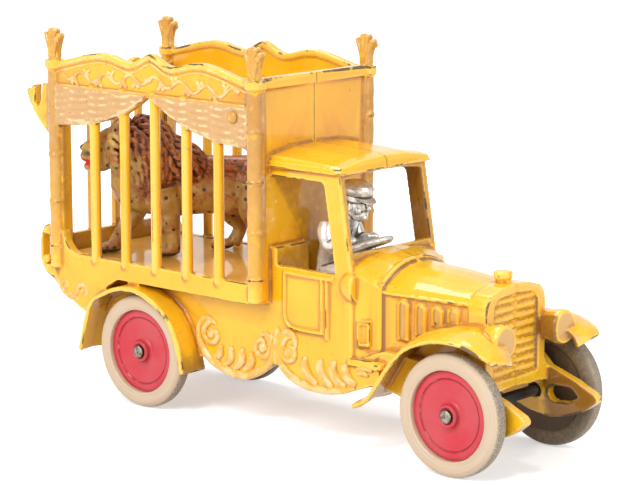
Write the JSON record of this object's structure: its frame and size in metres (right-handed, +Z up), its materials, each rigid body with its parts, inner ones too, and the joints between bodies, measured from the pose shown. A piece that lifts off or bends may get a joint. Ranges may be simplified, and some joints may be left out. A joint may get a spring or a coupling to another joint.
{
  "type": "cast iron toy circus truck",
  "caption": "Painted cast iron toy truck with an open barred cage, a caged lion, a seated driver, a drop-down tailgate and rolling rubber-tyred wheels.",
  "frame": {"origin": "bottom centre of the object's box, on the surface the tyres stand on", "axes": "+X towards the truck's front, +Y towards its left side, +Z up"},
  "size_m": [0.2366, 0.0704, 0.1435],
  "materials": {
    "yellow_enamel": "gloss enamel over cast iron, chipped at the edges",
    "red_paint": "satin red enamel on the wheel discs",
    "white_rubber": "aged off-white rubber",
    "steel": "dull steel, blackened on the shafts",
    "nickel": "worn nickel plate on cast iron",
    "lion_paint": "cream yellow enamel with red-brown mane and chips"
  },
  "bodies": {
    "root": {"right_body_half": "yellow_enamel", "left_body_half": "yellow_enamel", "cage_floor": "yellow_enamel", "lion": "lion_paint", "driver": "nickel", "steering_wheel": "nickel", "cage_rivet": "yellow_enamel", "body_rivet": "steel"},
    "tailgate_pin": {"tailgate_pin": "yellow_enamel"},
    "tailgate": {"tailgate": "yellow_enamel"},
    "front_axle": {"front_axle": "steel"},
    "rear_axle": {"rear_axle": "steel"},
    "front_left_wheel": {"front_left_wheel": "red_paint", "front_left_tyre": "white_rubber"},
    "front_right_wheel": {"front_right_wheel": "red_paint", "front_right_tyre": "white_rubber"},
    "rear_left_wheel": {"rear_left_wheel": "red_paint", "rear_left_tyre": "white_rubber"},
    "rear_right_wheel": {"rear_right_wheel": "red_paint", "rear_right_tyre": "white_rubber"}
  },
  "joints": [
    {"name": "pin_lift", "type": "slide", "parent": "root", "child": "tailgate_pin", "axis": [0, 0, 1], "range_m": [0, 0.0072]},
    {"name": "tailgate_hinge", "type": "hinge", "parent": "tailgate_pin", "child": "tailgate", "pos_m": [-0.1093, 0, 0.052], "axis": [0, -1, 0], "range_deg": [0, 135]},
    {"name": "front_axle_spin", "type": "hinge", "parent": "root", "child": "front_axle", "pos_m": [0.09125, 0, 0.022], "axis": [0, 1, 0], "continuous": true},
    {"name": "front_left_wheel_spin", "type": "hinge", "parent": "front_axle", "child": "front_left_wheel", "pos_m": [0.09125, 0, 0.022], "axis": [0, 1, 0], "continuous": true},
    {"name": "front_right_wheel_spin", "type": "hinge", "parent": "front_axle", "child": "front_right_wheel", "pos_m": [0.09125, 0, 0.022], "axis": [0, 1, 0], "continuous": true},
    {"name": "rear_axle_spin", "type": "hinge", "parent": "root", "child": "rear_axle", "pos_m": [-0.05885, 0, 0.022], "axis": [0, 1, 0], "continuous": true},
    {"name": "rear_left_wheel_spin", "type": "hinge", "parent": "rear_axle", "child": "rear_left_wheel", "pos_m": [-0.05885, 0, 0.022], "axis": [0, 1, 0], "continuous": true},
    {"name": "rear_right_wheel_spin", "type": "hinge", "parent": "rear_axle", "child": "rear_right_wheel", "pos_m": [-0.05885, 0, 0.022], "axis": [0, 1, 0], "continuous": true}
  ]
}
